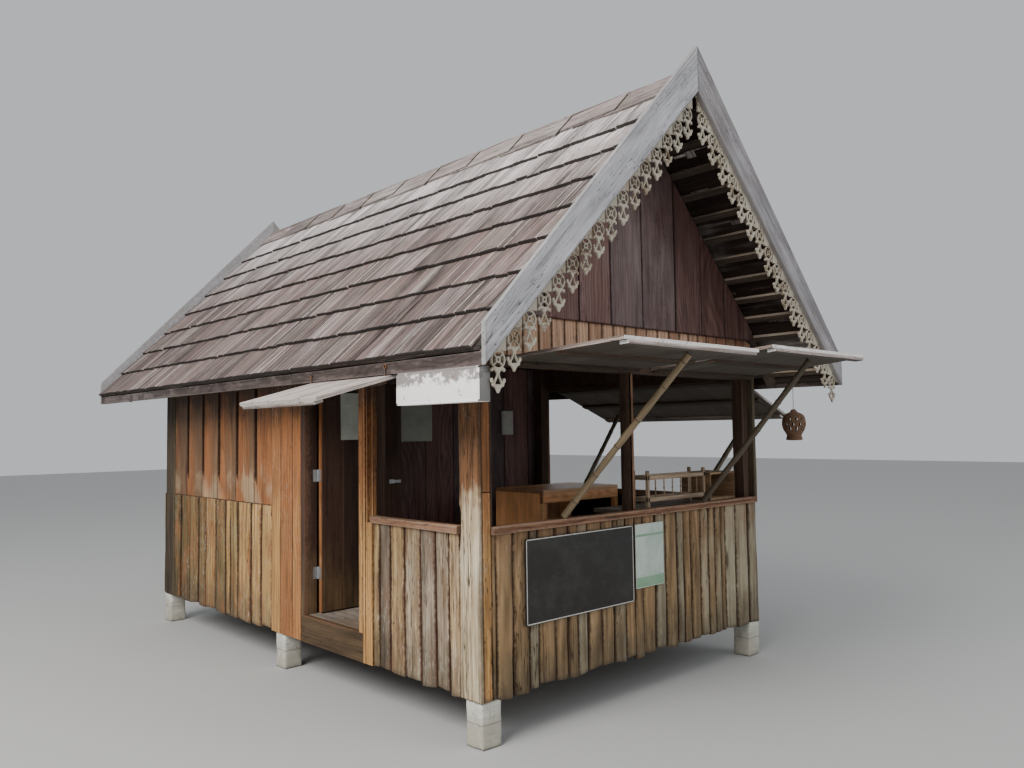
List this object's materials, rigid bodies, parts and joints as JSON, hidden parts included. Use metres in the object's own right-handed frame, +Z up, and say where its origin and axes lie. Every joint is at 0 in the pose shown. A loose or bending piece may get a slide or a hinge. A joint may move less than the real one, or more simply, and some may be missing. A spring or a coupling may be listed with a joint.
{
  "type": "street kiosk",
  "caption": "Wooden street kiosk on concrete piers with a steep shingled gable roof, carved gable valance, boarded walls, propped service flaps and a hinged side door.",
  "frame": {"origin": "on the ground under the middle of the overall box", "axes": "+Z up, the front gable with the two service openings faces -Y, the ridge runs along Y, the door side faces -X"},
  "size_m": [4.6114, 6.4194, 4.3237],
  "materials": {
    "concrete": "rough",
    "dark_wood": "worn",
    "deck_wood": "worn",
    "slab_wood": "rough",
    "pale_wood": "rough",
    "orange_wood": "matt",
    "gable_wood": "matt",
    "sill_wood": "worn",
    "grey_wood": "weathered",
    "shingle": "weathered",
    "carved_wood": "painted, worn",
    "bamboo": "satin",
    "steel": "satin",
    "iron": "rusty",
    "white_sheet": "weathered",
    "black_sheet": "satin",
    "board_sheet": "satin",
    "notice_card": "matt",
    "clay": "matt"
  },
  "bodies": {
    "building": {"piers": "concrete", "floor_bearers": "dark_wood", "floor_joists": "dark_wood", "floor_deck": "deck_wood", "wall_posts": "dark_wood", "wall_plates": "dark_wood", "front_low_wall": "slab_wood", "left_low_wall": "slab_wood", "left_slab_wall": "slab_wood", "right_slab_wall": "slab_wood", "back_slab_wall": "slab_wood", "left_plank_wall": "orange_wood", "left_jamb_boards": "orange_wood", "right_plank_wall": "orange_wood", "back_plank_wall": "orange_wood", "left_head_boards": "dark_wood", "right_head_boards": "dark_wood", "corner_boards": "orange_wood", "waney_board": "pale_wood", "door_pier_board": "orange_wood", "sills": "sill_wood", "head_rails": "dark_wood", "front_mullion": "dark_wood", "door_frame": "dark_wood", "jamb_fittings": "steel", "partition": "gable_wood", "gable_planks_front": "gable_wood", "gable_band": "orange_wood", "gable_planks_back": "gable_wood", "rafters": "grey_wood", "battens_left": "grey_wood", "battens_right": "grey_wood", "shingles_left": "shingle", "shingles_right": "shingle", "ridge_cap": "shingle", "fascias": "dark_wood", "bargeboards_front": "grey_wood", "bargeboards_back": "grey_wood", "valance_left": "carved_wood", "valance_right": "carved_wood", "flap_front_left": "grey_wood", "flap_front_right": "grey_wood", "flap_left": "grey_wood", "flap_right": "grey_wood", "flap_props": "bamboo", "flap_hooks": "iron", "sign_box": "white_sheet", "menu_board": "black_sheet", "poster_board": "board_sheet", "counter": "orange_wood", "inner_shelf": "dark_wood", "cup_rack": "pale_wood", "corner_box": "orange_wood", "notice_boards": "notice_card", "lantern": "clay"},
    "door": {"door_leaf": "dark_wood", "leaf_fittings": "steel"}
  },
  "joints": [
    {"name": "door_hinge", "type": "hinge", "parent": "building", "child": "door", "pos_m": [-1.30295, -0.24834, 0.46], "axis": [0, 0, 1], "range_deg": [-90, 20]}
  ]
}
